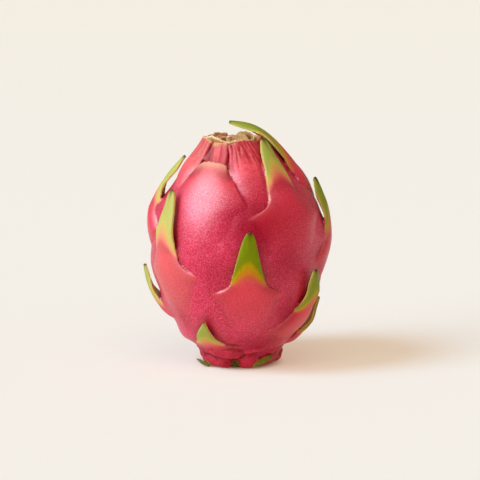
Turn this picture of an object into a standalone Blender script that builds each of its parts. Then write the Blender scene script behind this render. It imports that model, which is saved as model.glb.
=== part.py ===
"""Dragon fruit: one grown piece, in metres with +Z up.

The origin is the middle of the flat spot that the fruit rests on. An azimuth is in degrees round the
fruit: 0 is the front (-Y), 90 is +X. The body is a turned peel with a lobed foot at the stem end and an
open hollow at the flower end. Each leafy scale is a lofted solid whose lower part, its shield, is sunk in
the peel and whose upper part, its flap, stands free. One Boolean joins them all into a single solid.
"""

import math
from typing import NamedTuple

import bpy
import numpy as np
from mathutils import Vector

MM = 0.001

# ---- The body ------------------------------------------------------------------------------------------
# Outer line of the peel from under the resting plane up to the rim: radius and height, in mm.
PEEL_LINE = (
    (13.2, -1.2), (16.4, 0.6), (18.6, 3.0), (19.8, 6.2), (22.2, 9.4), (26.2, 12.8), (30.6, 18.5), (34.8, 26.0),
    (38.2, 35.0), (40.3, 45.5), (41.2, 56.5), (40.3, 66.5), (37.6, 76.0), (32.8, 84.5), (27.4, 91.2),
    (21.6, 97.2), (16.9, 102.4), (14.2, 106.6), (13.2, 110.0),
)
# The rim's top and the hollow that the flower left, from the outside in.
HOLLOW_LINE = ((12.6, 110.8), (11.4, 110.4), (10.6, 108.4), (9.8, 104.6), (7.6, 103.4))
NECK_LEAN = 4.0  # how far the rim's middle stands towards -X
LEAN_FROM = 78.0  # height where the axis starts to lean
FOOT_GROOVES = (-8.0, 80.0, 152.0, -138.0, -78.0)  # azimuths of the creases between the foot's lobes
GROOVE_DEPTH = 0.24  # share of the radius
GROOVE_WIDTH = 9.0  # degrees
GROOVE_TOP = 13.0  # height where the creases have run out
SIDES = 56  # facets round the body
LINE_STEPS = 28  # facets along the peel line
BLOCK = 50.0  # half the width of the block that cuts the foot flat

# ---- The scales ----------------------------------------------------------------------------------------
TUCK = 1.5  # depth of a shield's edge under the peel, where it has faded out
DOME_POWER = 2.4  # how flat a shield is across its middle before it drops to its margins
SINK_POWER = 1.5  # how late a shield sinks on its way down
BRIM_POWER = 2.2  # how late the brim widens on its way down
FADE = 5.0  # length over which a shield's edge sinks below its widest place
ROOT_SHARE = 0.55  # thickness of a scale where it is sunk in the body, as a share of its half-width
FLAP_THICK = 3.0  # middle thickness of a flap at its root
TIP_THICK = 1.4  # middle thickness near its tip
EDGE_THICK = 1.0  # thickness at its margins
EDGE_PROUD = 1.1  # height of a margin over the peel, at the root
TIP_BEND = 13.0  # radius of a flap's channelled cross-section at its tip
TIP_HALF_WIDTH = 0.4
FREE_FROM = 0.16  # share of a flap's length over which it thins from the root to a free flap
SPINE_LEAVE, SPINE_ARRIVE = 0.38, 0.34  # reach of the spine's Bezier handles, as shares of its length
TURN_IN = 0.6  # how strongly the end of a flap turns inwards, as the body under it does
LEAF_SHARE, LEAF_POWER, FOOT_POWER = 0.84, 0.46, 4.0  # a flap's outline: see flap_half_width
SMALL = 8.3  # a scale with a smaller half-width gets fewer facets
# Facets across, and the rings as shares of the shield below its widest place, of the brim and of the flap.
SMALL_FACETS = (4, (1.0, 0.5), (1.0, 0.5), (0.0, 0.16, 0.45, 0.75, 1.0))
LARGE_FACETS = (6, (1.0, 0.72, 0.46, 0.22), (1.0, 0.75, 0.4), (0.0, 0.12, 0.27, 0.45, 0.65, 0.84, 1.0))


class Scale(NamedTuple):
    """A leafy scale. Lengths are in mm."""

    name: str
    azimuth: float  # of the middle of its root
    height: float  # of the middle of its root
    tip: tuple  # x, y, z of its tip
    half_width: float  # of the flap at its root
    brim: float  # half-width of the shield at its widest
    drop: float  # from the root down to where the shield is widest
    shield: float  # length of the shield, root to bottom
    proud: float = 2.4  # height of the root's middle over the peel
    flare: float = 8.0  # degrees that the flap leaves the peel at
    kept: float = 1.0  # share of the flap that is left, where its end is broken off


SCALES = (
    # Front and sides, from the top down.
    Scale("cut_front", -28.5, 91.0, (-11.2, -18.6, 105.0), 12.0, 22.0, 14.0, 50.0, 2.6, 0.0, 0.62),
    Scale("top_right_back", 103.0, 95.0, (-5.5, 9.0, 116.2), 8.5, 15.0, 7.0, 34.0, 3.8, 14.0),
    Scale("left_high", -94.0, 76.0, (-27.0, 1.0, 100.8), 8.5, 18.0, 8.0, 42.0, 4.0, 10.0),
    Scale("right_high_front", 38.0, 84.5, (10.8, -13.0, 110.0), 9.4, 21.0, 10.0, 46.0, 2.6, 3.0),
    Scale("back_high", 164.0, 74.0, (7.0, 37.0, 101.0), 9.0, 19.0, 8.0, 44.0, 3.0, 10.0),
    Scale("left_mid_front", -53.0, 59.0, (-32.2, -22.2, 87.0), 9.0, 19.0, 9.4, 44.0, 2.6, 9.0),
    Scale("right_mid", 88.0, 63.0, (36.2, 0.0, 89.6), 8.6, 18.5, 9.0, 42.0, 3.2, 8.0),
    Scale("back_left_mid", -146.0, 53.0, (-27.0, 38.0, 80.0), 9.0, 19.0, 8.5, 42.0, 2.8, 10.0),
    Scale("front_mid", 6.6, 45.6, (4.6, -44.6, 69.8), 8.5, 17.4, 6.2, 38.0, 2.4, 6.0),
    Scale("back_right_mid", 132.0, 41.0, (34.0, 32.5, 65.0), 9.0, 18.0, 7.0, 32.0, 2.6, 12.0),
    Scale("left_low", -93.0, 29.0, (-46.6, 2.0, 47.3), 8.4, 17.0, 6.5, 22.0, 2.6, 12.0),
    Scale("right_low_front", 57.0, 31.0, (36.0, -27.8, 49.6), 8.4, 18.5, 13.0, 25.0, 2.8, 12.0),
    Scale("back_low", -178.0, 24.0, (-3.0, 44.5, 44.0), 8.6, 17.0, 7.0, 20.0, 2.4, 12.0),
    Scale("right_foot_back", 99.0, 17.0, (37.9, 8.0, 29.8), 7.8, 15.0, 5.0, 13.0, 2.4, 14.0),
    Scale("front_foot_left", -26.0, 15.0, (-16.8, -34.0, 25.2), 8.6, 14.6, 3.6, 11.0, 2.4, 6.0),
    Scale("back_foot_left", -126.0, 11.5, (-29.5, 22.5, 21.5), 8.4, 14.0, 3.5, 9.0, 2.2, 12.0),
    # Small scales on the foot's lobes.
    Scale("foot_right", 27.0, 4.4, (10.4, -17.0, 9.6), 3.6, 5.4, 1.4, 3.2, 1.4, 2.0),
    Scale("foot_left", -60.0, 4.0, (-19.6, -10.4, 6.4), 3.6, 6.0, 1.4, 3.6, 1.6, 10.0),
    Scale("foot_back", 140.0, 4.4, (14.6, 17.2, 9.4), 3.8, 6.0, 1.4, 3.6, 1.6, 4.0),
    # Stumps round the neck, whose ends withered off with the flower.
    Scale("neck_left", -69.0, 98.0, (-17.4, -5.2, 113.2), 7.4, 9.6, 6.0, 18.0, 2.6, 2.0, 0.9),
    Scale("neck_front", 22.0, 97.0, (1.4, -14.2, 113.6), 8.6, 12.0, 8.0, 24.0, 2.4, 0.0, 0.84),
    Scale("neck_right", 66.0, 100.0, (8.6, -5.8, 114.6), 4.8, 7.0, 5.0, 13.0, 2.2, 2.0, 0.9),
    Scale("neck_back_right", 116.0, 99.0, (7.8, 5.6, 114.0), 6.0, 8.0, 5.0, 14.0, 2.2, 2.0, 0.84),
    Scale("neck_back", 172.0, 97.0, (-2.4, 14.0, 113.6), 8.0, 10.5, 6.0, 19.0, 2.2, 2.0, 0.84),
    Scale("neck_back_left", -128.0, 97.0, (-14.4, 9.0, 113.6), 7.2, 9.5, 6.0, 18.0, 2.2, 2.0, 0.84),
)


# ---- The peel as a surface ------------------------------------------------------------------------------
def smooth_line(points, steps):
    """A Catmull-Rom curve through the points, with that many steps between each pair."""
    knots = [np.array(p, float) for p in points]
    knots = [2 * knots[0] - knots[1], *knots, 2 * knots[-1] - knots[-2]]
    curve = []
    for before, start, end, after in zip(knots, knots[1:], knots[2:], knots[3:]):
        for k in range(steps):
            t = k / steps
            curve.append(
                start
                + 0.5 * t * (end - before)
                + t * t * (before - 2.5 * start + 2 * end - 0.5 * after)
                + t * t * t * (1.5 * start - 0.5 * before - 1.5 * end + 0.5 * after)
            )
    curve.append(knots[-2])
    return np.array(curve)


PEEL = smooth_line(PEEL_LINE, steps=24)
ARC = np.concatenate([[0.0], np.cumsum(np.linalg.norm(np.diff(PEEL, axis=0), axis=1))])


def lean(height):
    """How far the axis stands towards +X at a height."""
    rise = max(0.0, (min(height, PEEL_LINE[-1][1]) - LEAN_FROM) / (PEEL_LINE[-1][1] - LEAN_FROM))
    return -NECK_LEAN * rise**1.4


def groove(azimuth, height):
    """0 on a lobe and 1 in a crease of the foot."""
    fade = max(0.0, 1.0 - height / GROOVE_TOP) ** 0.7
    nearest = min(abs((azimuth - g + 180) % 360 - 180) for g in FOOT_GROOVES)
    return fade * math.exp(-((nearest / GROOVE_WIDTH) ** 2))


def round_axis(azimuth, radius, height):
    """The point at that azimuth and radius from the leaning axis."""
    turn = math.radians(azimuth)
    return Vector((lean(height) + radius * math.sin(turn), -radius * math.cos(turn), height))


def on_peel(azimuth, height):
    """The point of the peel at that azimuth and height, in mm."""
    radius = np.interp(height, PEEL[:, 1], PEEL[:, 0]) * (1 - GROOVE_DEPTH * groove(azimuth, height))
    return round_axis(azimuth, radius, height)


def along_peel(height, distance):
    """The height that lies that far up the peel line from another."""
    return float(np.interp(np.interp(height, PEEL[:, 1], ARC) + distance, ARC, PEEL[:, 1]))


def round_tangent(azimuth):
    """The level direction in which the azimuth grows."""
    turn = math.radians(azimuth)
    return Vector((math.cos(turn), math.sin(turn), 0.0))


def up_tangent(azimuth, height):
    """The direction up the peel."""
    step = 0.4
    return (on_peel(azimuth, height + step) - on_peel(azimuth, height - step)).normalized()


# ---- Solids from rings ----------------------------------------------------------------------------------
def lofted(name, rings):
    """A closed mesh object through rings of equally many points, capped flat at both ends."""
    count = len(rings[0])
    points = [tuple(p * MM for p in point) for ring in rings for point in ring]
    faces = [tuple(reversed(range(count)))]
    for k in range(len(rings) - 1):
        low = k * count
        for i in range(count):
            after = (i + 1) % count
            faces.append((low + i, low + after, low + count + after, low + count + i))
    last = (len(rings) - 1) * count
    faces.append(tuple(range(last, last + count)))
    mesh = bpy.data.meshes.new(name)
    mesh.from_pydata(points, [], faces)
    mesh.validate()
    solid = bpy.data.objects.new(name, mesh)
    bpy.context.scene.collection.objects.link(solid)
    return solid


def body_rings():
    """Rings from the resting spot up the peel, over the rim and down into the hollow."""
    lengths = np.linspace(0, ARC[-1], LINE_STEPS + 1)
    heights = [float(h) for h in np.interp(lengths, ARC, PEEL[:, 1])]
    azimuths = [360 * k / SIDES for k in range(SIDES)]
    rings = [[on_peel(a, h) for a in azimuths] for h in heights]
    for radius, height in HOLLOW_LINE:
        rings.append([round_axis(a, radius, height) for a in azimuths])
    return rings


def block_rings():
    """A block whose top is the resting plane."""
    corners = ((-BLOCK, -BLOCK), (BLOCK, -BLOCK), (BLOCK, BLOCK), (-BLOCK, BLOCK))
    return [[Vector((x, y, z)) for x, y in corners] for z in (-BLOCK, 0)]


# ---- Scales ---------------------------------------------------------------------------------------------
def eased(x):
    """0 to 1 with a smooth start and end."""
    x = min(1.0, max(0.0, x))
    return x * x * (3 - 2 * x)


def flap_half_width(scale, share):
    """A long leaf outline: flared at the root, slim in the middle and round to the tip."""
    rest = 1 - share
    return scale.half_width * (LEAF_SHARE * rest**LEAF_POWER + (1 - LEAF_SHARE) * rest**FOOT_POWER)


def shield_half_width(scale, depth):
    """Carries the flap's flare on into a brim, widest at its drop, then narrows towards its bottom."""
    if depth > scale.drop:
        return scale.brim * (1 - 0.5 * ((depth - scale.drop) / (scale.shield - scale.drop)) ** 1.5)
    length = (Vector(scale.tip) - on_peel(scale.azimuth, scale.height)).length
    flare = scale.half_width * (LEAF_SHARE * LEAF_POWER + (1 - LEAF_SHARE) * FOOT_POWER) / length
    rest = scale.brim - scale.half_width - flare * scale.drop
    return scale.half_width + flare * depth + rest * (depth / scale.drop) ** BRIM_POWER


def shield_ring(scale, depth, across):
    """Cross-section of the sunk part, that far down the peel from the root."""
    height = along_peel(scale.height, -depth)
    half = shield_half_width(scale, depth)
    middle = scale.proud - (scale.proud + TUCK) * (depth / scale.shield) ** SINK_POWER
    edge = EDGE_PROUD * (1 - min(1.0, depth / scale.drop) ** 3) - TUCK * eased((depth - scale.drop) / FADE)
    radius = max(4.0, math.hypot(*on_peel(scale.azimuth, height).xy))
    outer, inner = [], []
    for k in range(across + 1):
        side = 2 * k / across - 1
        azimuth = scale.azimuth + math.degrees(side * half / radius)
        out = round_tangent(azimuth).cross(up_tangent(azimuth, height)).normalized()
        rise = edge + (middle - edge) * (1 - abs(side) ** DOME_POWER)
        point = on_peel(azimuth, height)
        outer.append(point + out * rise)
        inner.append(point + out * (rise - ROOT_SHARE * scale.half_width))
    return [*outer, *reversed(inner)]


def flap_spine(scale):
    """The four Bezier points of the flap's outer middle line."""
    up = up_tangent(scale.azimuth, scale.height)
    out = round_tangent(scale.azimuth).cross(up).normalized()
    root = on_peel(scale.azimuth, scale.height) + out * scale.proud
    tip = Vector(scale.tip)
    reach = (tip - root).length
    lean_out = math.radians(scale.flare)
    leave = (up * math.cos(lean_out) + out * math.sin(lean_out)) * reach * SPINE_LEAVE
    arrive = (tip - root - leave).normalized().lerp((tip - root).normalized(), 1 - TURN_IN)
    return root, root + leave, tip - arrive * reach * SPINE_ARRIVE, tip


def bezier(points, t):
    """Point and direction at t on a cubic Bezier."""
    a, b, c, d = points
    s = 1 - t
    point = a * s**3 + b * 3 * s * s * t + c * 3 * s * t * t + d * t**3
    direction = (b - a) * s * s + (c - b) * 2 * s * t + (d - c) * t * t
    return point, direction.normalized()


def flap_ring(scale, share, across):
    """Cross-section of the free part at that share of its length."""
    point, direction = bezier(flap_spine(scale), share)
    level = round_tangent(scale.azimuth)
    level = (level - direction * level.dot(direction)).normalized()
    out = level.cross(direction).normalized()
    half = max(flap_half_width(scale, share), TIP_HALF_WIDTH)
    root_bend = max(TIP_BEND, math.hypot(*on_peel(scale.azimuth, scale.height).xy))
    bend = root_bend + (TIP_BEND - root_bend) * eased(1.3 * share)
    free = eased(share / FREE_FROM)
    dome = (scale.proud - EDGE_PROUD) * (1 - eased(2.5 * share))
    thick = FLAP_THICK + (TIP_THICK - FLAP_THICK) * share
    outer, inner = [], []
    for k in range(across + 1):
        side = 2 * k / across - 1
        turn = side * half / bend
        sag = bend * (1 - math.cos(turn)) + dome * abs(side) ** DOME_POWER
        top = point + level * bend * math.sin(turn) - out * sag
        depth = EDGE_THICK + (thick - EDGE_THICK) * (1 - side * side)
        depth = ROOT_SHARE * scale.half_width * (1 - free) + depth * free
        outer.append(top)
        inner.append(top - out * depth)
    return [*outer, *reversed(inner)]


def scale_rings(scale):
    """Rings from the bottom of the shield up to the tip."""
    across, below, brim, flap = SMALL_FACETS if scale.half_width < SMALL else LARGE_FACETS
    rest = scale.shield - scale.drop
    rings = [shield_ring(scale, scale.drop + rest * share, across) for share in below]
    rings += [shield_ring(scale, scale.drop * share, across) for share in brim]
    rings += [flap_ring(scale, scale.kept * share, across) for share in flap]
    return rings


# ---- Finish and assembly --------------------------------------------------------------------------------
def peel_material():
    material = bpy.data.materials.new("peel")
    material.use_nodes = True
    shader = material.node_tree.nodes["Principled BSDF"]
    shader.inputs["Base Color"].default_value = (0.72, 0.07, 0.16, 1)
    shader.inputs["Roughness"].default_value = 0.42
    shader.inputs["Metallic"].default_value = 0.0
    return material


def clear_scene():
    for thing in list(bpy.data.objects):
        bpy.data.objects.remove(thing)


def build_fruit():
    fruit = lofted("dragon_fruit", body_rings())
    grown = bpy.data.collections.new("scales")
    bpy.context.scene.collection.children.link(grown)
    for scale in SCALES:
        solid = lofted(scale.name, scale_rings(scale))
        bpy.context.scene.collection.objects.unlink(solid)
        grown.objects.link(solid)
        solid.hide_render = True
        solid.display_type = "WIRE"
    join = fruit.modifiers.new("grown_together", "BOOLEAN")
    join.operation = "UNION"
    join.operand_type = "COLLECTION"
    join.collection = grown
    join.solver = "EXACT"
    join.use_self = True
    plane = lofted("resting_plane", block_rings())
    plane.hide_render = True
    plane.display_type = "WIRE"
    flat = fruit.modifiers.new("cut_flat", "BOOLEAN")
    flat.operation = "DIFFERENCE"
    flat.object = plane
    flat.solver = "EXACT"
    fruit.data.materials.append(peel_material())
    fruit.data.shade_smooth()
    return fruit


clear_scene()
build_fruit()
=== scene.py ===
"""Dragon fruit: its peel with leafy scales, the dry rim that the flower left, and the cut stem.

Lengths are in mm until a mesh is made. An azimuth is in degrees round the fruit: 0 is the front (-Y), 90 is
+X. Each scale is a shield sunk in the peel and a flap that stands free above its root.
"""

import math
from typing import NamedTuple

import bpy
import numpy as np
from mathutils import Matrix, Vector, kdtree, noise


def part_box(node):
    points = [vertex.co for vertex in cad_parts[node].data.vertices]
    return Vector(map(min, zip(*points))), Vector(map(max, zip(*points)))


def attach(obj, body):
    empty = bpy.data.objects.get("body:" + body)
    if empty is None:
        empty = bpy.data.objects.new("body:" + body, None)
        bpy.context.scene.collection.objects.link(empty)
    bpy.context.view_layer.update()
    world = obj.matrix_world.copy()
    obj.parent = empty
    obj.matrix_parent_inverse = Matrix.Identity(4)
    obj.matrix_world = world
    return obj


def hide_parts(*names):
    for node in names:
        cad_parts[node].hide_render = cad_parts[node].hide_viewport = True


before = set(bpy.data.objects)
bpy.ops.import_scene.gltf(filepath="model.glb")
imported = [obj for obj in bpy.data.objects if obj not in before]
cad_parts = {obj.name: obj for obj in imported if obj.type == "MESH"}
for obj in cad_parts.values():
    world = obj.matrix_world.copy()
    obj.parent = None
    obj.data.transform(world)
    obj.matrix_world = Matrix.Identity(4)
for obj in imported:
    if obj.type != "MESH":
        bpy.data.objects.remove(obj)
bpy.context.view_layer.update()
low_corner, high_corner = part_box("dragon_fruit")

TALL = 116.3  # the fruit's height in mm, resting spot to highest tip
UNIT = (high_corner[2] - low_corner[2]) / TALL  # one mm of this script, in the frame's metres

# ---- The body ------------------------------------------------------------------------------------------
# Outer line of the peel from under the lobes up to the rim: radius and height.
PEEL_LINE = (
    (14.4, 0.0), (16.8, 0.9), (18.8, 3.0), (20.0, 6.0), (21.6, 9.2), (25.0, 12.8), (29.2, 18.5),
    (33.8, 26.0), (37.8, 35.0), (40.2, 45.5), (41.2, 56.5), (40.3, 66.5), (37.6, 76.0), (32.8, 84.5),
    (27.4, 91.2), (21.2, 97.2), (16.2, 102.4), (13.7, 106.2), (12.9, 107.8),
)
HOLLOW_LINE = (
    (12.5, 108.0), (11.8, 107.8), (11.0, 106.6), (10.2, 104.8), (8.6, 104.0), (4.0, 103.7), (0.1, 103.7),
)
UNDER_LINE = ((0.1, 3.4), (4.6, 3.2), (6.4, 2.4), (7.8, 1.0), (9.4, 0.2), (11.8, 0.0))  # round the stem
NECK_LEAN = 4.0  # how far the neck's end lies to the left
LEAN_FROM, NECK_TOP = 78.0, 110.0  # heights between which the neck leans
WAIST_LEAN = 1.1  # how far the middle lies to the left
WAIST, HALF_WAIST = 52.0, 13.0  # height of the middle, and half the height that leans with it
FOOT_GROOVES = (-8.0, 116.0, 168.0, -138.0, -78.0)  # azimuths of the creases between the foot's lobes
GROOVE_DEPTH = 0.27  # as a share of the radius
GROOVE_WIDTH = 8.0  # half its width in degrees
GROOVE_TOP = 13.5
GROOVE_RISE = 1.4  # how far the underside lifts in a groove
BODY_SIDES = 320
BODY_STEPS = 260
NECK_RIBS, RIB_RISE = 7.0, 0.7  # fineness of the wrinkles round the neck, and their height
# Swells of the bare peel: azimuth, height, half their width in degrees, half their height, rise.
SWELLS = (
    (-84.0, 15.2, 30.0, 4.6, 1.8),  # over the left of the foot
    (-90.0, 46.0, 22.0, 9.0, 1.2),
    (-88.0, 75.0, 12.0, 5.5, 3.2),  # behind the roots of the side scales
    (84.0, 63.0, 12.0, 6.0, 3.0),
    (-88.0, 29.0, 12.0, 4.5, 2.2),
)
# Lumps on a surface: their rise, their size, how much they are squashed in height, and their seed.
PEEL_LUMPS = ((0.35, 15.0, 1.0, 3.0), (0.12, 4.5, 1.0, 5.0))
FOOT_LUMPS = ((0.9, 9.0, 2.6, 11.0), (0.4, 4.0, 2.6, 12.0))
FOLD_LUMPS = ((0.75, 3.4, 1.0, 41.0), (0.4, 1.5, 1.0, 42.0))


class Fold(NamedTuple):
    """A swollen fold of peel on the foot."""

    azimuth: float
    radius: float  # of its middle, from the axis
    height: float
    halves: tuple  # half its length, depth and height
    slope: float = 0.0  # degrees that it drops towards growing azimuth


FOLDS = (
    Fold(-27.0, 20.2, 9.4, (10.5, 4.0, 3.2), 9.0),  # under the front scale
    Fold(-50.0, 15.0, 4.4, (9.6, 5.6, 4.4), 4.0),  # left lobe
    Fold(-30.0, 15.4, 3.8, (4.6, 4.8, 3.8), 6.0),
    Fold(-8.0, 12.8, 3.6, (3.8, 3.0, 3.6)),  # deep between the two
    Fold(15.0, 16.0, 5.4, (5.6, 4.8, 5.4), -14.0),  # right lobe's front
    Fold(46.0, 15.2, 4.8, (8.6, 5.2, 3.6), -12.0),  # right lobe
    Fold(56.0, 18.8, 9.0, (8.0, 3.2, 1.9), -6.0),  # ridge over the right lobe
    Fold(26.0, 20.6, 10.8, (7.5, 3.2, 1.7), -16.0),
    Fold(92.0, 15.6, 4.6, (8.0, 4.6, 4.4), 3.0),
    Fold(-108.0, 15.0, 4.6, (8.0, 4.6, 4.4), -4.0),
    Fold(142.0, 15.4, 4.6, (8.4, 4.6, 4.4), 5.0),
    Fold(-158.0, 15.4, 4.6, (8.4, 4.6, 4.4), -3.0),
    Fold(-88.0, 18.6, 9.6, (9.0, 3.0, 2.0), 5.0),
    Fold(128.0, 20.6, 9.8, (11.0, 3.0, 2.0), -4.0),
    Fold(-166.0, 20.4, 10.0, (11.0, 3.0, 2.0), 4.0),
)
FOLD_POWER = 2.5  # over 2, a fold is fuller than an ellipsoid


class Leaflet(NamedTuple):
    """A small scale pressed flat on the foot."""

    root: tuple
    tip: tuple
    half_width: float
    facing: tuple  # the direction that its outer side looks in
    dry: float = 0.3


LEAFLETS = (
    Leaflet((-14.4, -14.4, 0.6), (-21.3, -10.8, 3.7), 1.1, (-0.5, -0.8, 0.35), 0.62),
    Leaflet((6.6, -18.8, 1.7), (16.0, -14.2, 5.4), 1.2, (0.42, -0.85, 0.3), 0.42),
    Leaflet((-0.6, -15.8, 0.8), (-4.2, -15.0, 3.1), 1.5, (-0.1, -1.0, 0.2), 0.85),
    Leaflet((13.2, 16.4, 1.2), (19.4, 9.6, 4.8), 1.4, (0.6, 0.75, 0.3), 0.3),
)

# ---- The scales ----------------------------------------------------------------------------------------
TUCK = 1.5  # how far a shield's edge is sunk in the peel
FADE = 5.0  # length over which the brim sinks in
ROOT_SHARE = 0.55  # thickness of a root, as a share of the flap's half-width
UNDERCUT = 0.3  # how much narrower a root is inside
DOME_POWER = 2.4  # higher is flatter across
SINK_POWER = 1.5  # higher sinks later on the way down a shield
BRIM_POWER = 2.2  # higher flares later from the flap into the brim
FLAP_THICK, TIP_THICK = 2.8, 1.5  # in the middle of a flap, at its root and at its tip
EDGE_THICK = 1.25
EDGE_PROUD = 1.1  # height of the brim's edge over the peel
LEAF_SHARE = 0.84  # share of a flap's width that tapers to its tip; the rest is the flare at its foot
FOOT_POWER = 4.0  # higher ends that flare sooner
TIP_HALF_WIDTH = 0.35
FREE_FROM = 0.13  # share of a flap over which it thins from its root
JOINED_UP_TO = 0.35  # share of a flap over which its cross-section leaves the shield's
ACROSS = 30  # points across a scale
STEP = 0.45  # distance between a scale's cross-sections
GREEN_SPAN = 0.5  # share of a flap over which it turns green
SIDE_LEAD, SIDE_HASTE = 0.2, 0.26  # how much sooner and quicker it does so at its sides
DRY_FROM, DRY_SPAN = 0.93, 0.09  # where a flap's tip is dry, as shares of its length
MARGIN_FROM = 0.93  # share of the half-width where the pale margin starts
FLAP_MARGIN = 0.35  # how pale the margin is on a flap
CORAL_REACH, CUT_CORAL_REACH = 22.0, 8.0  # how far down a shield the coral goes
CUT_PALE, CUT_PALE_SHARE = 1.1, 0.38  # how pale a cut scale gets, over which share of its length
CUT_RAGGED, NECK_RAGGED = 0.45, 0.9  # how unevenly an end is torn off
WRINKLE_DEEP, WRINKLE_WIDE = 0.95, 0.13
WRINKLE_RUN = 18.0  # length over which the wrinkles of a stump fade in


class Scale(NamedTuple):
    name: str
    azimuth: float  # of the middle of its root
    height: float  # of the middle of its root
    tip: tuple  # x, y, z of its tip
    half_width: float  # of the flap at its root
    brim: float  # half-width of the shield at its widest
    drop: float  # from the root down to where the shield is widest
    shield: float  # length of the shield, root to bottom
    proud: float = 2.4  # height of the root's middle over the peel
    flare: float = 8.0  # degrees that the flap leaves the peel at
    kept: float = 1.0  # share of the flap that is left, where its end is broken off
    bend: float = 10.0  # radius of the flap's channelled cross-section
    twist: float = 0.0  # degrees that the flap turns about its spine on the way to its tip
    bloom: float = 0.4  # how pale its green is: a waxy bloom, together with painted sheen on the scales that face the light
    lines: tuple = (0.5, 0.5)  # how pale the brim's margin is, to the left and to the right
    green_from: float = 0.02  # share of the flap where the colour starts to turn green
    skew: float = 0.0  # how much later the green starts on the right than in the middle
    taper: float = 0.46  # under 0.5 the flap is full towards its tip, near 1 it is a triangle
    pale: float = 0.0  # how pale its skin is
    coral: float = 1.0  # how coral its skin is below the root
    husk: float = 0.08  # share of a stump's length over which its end is dry
    arch: tuple = (0.38, 0.34, 0.6)  # how long it keeps its first and last direction, and how far it turns in


SCALES = (
    # Front and sides, from the top down. A kept share under 1 puts the tip where the flap is cut off.
    Scale("cut_front", -30.0, 91.0, (-12.2, -19.4, 98.8), 12.4, 22.0, 14.0, 50.0, 2.8, 0.0, 0.58, husk=0.1),
    Scale("top_right_back", 103.2, 92.5, (-5.2, 9.0, 116.0), 11.8, 15.0, 6.0, 22.0, 4.1, 10.8, 1.0, 6.8, -2.0,
          bloom=0.2, lines=(0.0, 0.1), green_from=0.1, taper=0.38, arch=(0.6, 0.33, 1.3)),
    Scale("left_high", -94.8, 73.7, (-26.6, 2.0, 100.4), 9.8, 18.0, 8.0, 21.0, 5.6, -4.3, 1.0, 5.8, -3.0,
          bloom=0.8, green_from=0.12, arch=(0.45, 0.29, 1.22)),
    Scale("right_high_front", 39.5, 84.5, (10.9, -13.0, 110.0), 8.6, 23.0, 11.5, 46.0, 2.6, 3.0, 1.0, 9.0,
          bloom=0.6, lines=(1.0, 0.2), green_from=0.2, coral=0.55),
    Scale("back_high", 164.0, 74.0, (7.0, 37.0, 101.0), 9.4, 19.0, 8.0, 44.0, 3.0, 10.0),
    Scale("left_mid_front", -54.0, 56.6, (-32.0, -22.6, 87.0), 8.8, 19.0, 9.4, 42.0, 2.8, 9.0, 1.0, 9.0,
          bloom=0.8, lines=(0.3, 0.0), green_from=0.12, skew=-0.04, pale=0.14),
    Scale("right_mid", 88.2, 61.6, (36.1, 0.0, 90.1), 9.6, 18.5, 9.0, 24.0, 3.7, 1.3, 1.0, 5.6, 20.0,
          bloom=0.25, green_from=0.08, arch=(0.38, 0.37, 1.04)),
    Scale("back_left_mid", -146.0, 53.0, (-27.0, 38.0, 80.0), 9.4, 19.0, 8.5, 42.0, 2.8, 10.0),
    Scale("front_mid", 6.6, 45.6, (4.6, -44.6, 69.8), 8.3, 17.4, 6.2, 38.0, 2.4, 6.0,
          bloom=0.0, lines=(1.0, 0.4), green_from=-0.02),
    Scale("back_right_mid", 132.0, 41.0, (34.0, 32.5, 65.0), 9.4, 18.0, 7.0, 32.0, 2.6, 12.0),
    Scale("left_low", -94.7, 28.0, (-46.6, 3.0, 47.3), 9.0, 16.0, 4.5, 9.0, 4.0, 10.2, 1.0, 5.6, -13.0,
          bloom=0.7, green_from=0.1, arch=(0.47, 0.34, 1.25)),
    Scale("right_low_front", 57.0, 31.0, (36.0, -27.8, 49.6), 7.8, 18.5, 13.0, 25.0, 2.8, 12.0, 1.0, 8.0,
          bloom=0.2, lines=(0.3, 0.2), skew=0.2),
    Scale("back_low", -178.0, 24.0, (-3.0, 44.5, 44.0), 9.0, 17.0, 7.0, 20.0, 2.4, 12.0),
    Scale("right_foot_back", 101.0, 16.0, (38.9, 9.0, 30.0), 8.6, 15.0, 5.0, 13.0, 4.0, 22.0, 1.0, 6.5,
          bloom=0.0),
    Scale("front_foot_left", -33.0, 14.6, (-17.0, -33.6, 25.6), 7.2, 17.0, 4.4, 10.0, 2.4, 6.0,
          bloom=0.55, lines=(0.4, 0.6), green_from=-0.08, skew=0.1, taper=1.0),
    Scale("back_foot_left", -126.0, 11.5, (-29.5, 22.5, 21.5), 8.4, 14.0, 3.5, 9.0, 2.2, 12.0),
    # Stumps round the neck, whose ends withered off with the flower.
    Scale("neck_left", -72.0, 97.0, (-15.8, -5.6, 108.6), 9.8, 10.6, 6.0, 20.0, 3.0, 1.0, 0.4, 9.0,
          pale=0.16, coral=0.35),
    Scale("neck_middle", -28.0, 97.0, (-10.4, -12.5, 108.0), 6.8, 8.0, 6.0, 12.0, 0.6, 0.0, 0.4, 16.0,
          husk=0.16),
    Scale("neck_front", 19.0, 96.5, (0.4, -14.3, 107.5), 10.4, 13.5, 8.0, 26.0, 3.1, 0.0, 0.4, 12.0,
          coral=0.35, husk=0.03),
    Scale("neck_right", 86.0, 100.0, (9.4, -1.2, 109.0), 7.4, 9.0, 5.0, 14.0, 2.2, 2.0, 0.4, 12.0,
          coral=0.35),
    Scale("neck_back_right", 130.0, 99.0, (6.6, 9.0, 108.2), 8.0, 10.0, 5.0, 16.0, 2.2, 2.0, 0.4, 12.0,
          coral=0.35),
    Scale("neck_back", 174.0, 97.0, (-2.6, 13.8, 108.2), 9.0, 11.0, 6.0, 20.0, 2.2, 2.0, 0.4, 13.0,
          coral=0.35),
    Scale("neck_back_left", -134.0, 97.0, (-14.1, 9.7, 108.2), 9.0, 10.5, 6.0, 20.0, 2.2, 2.0, 0.4, 13.0,
          coral=0.35),
)
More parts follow.
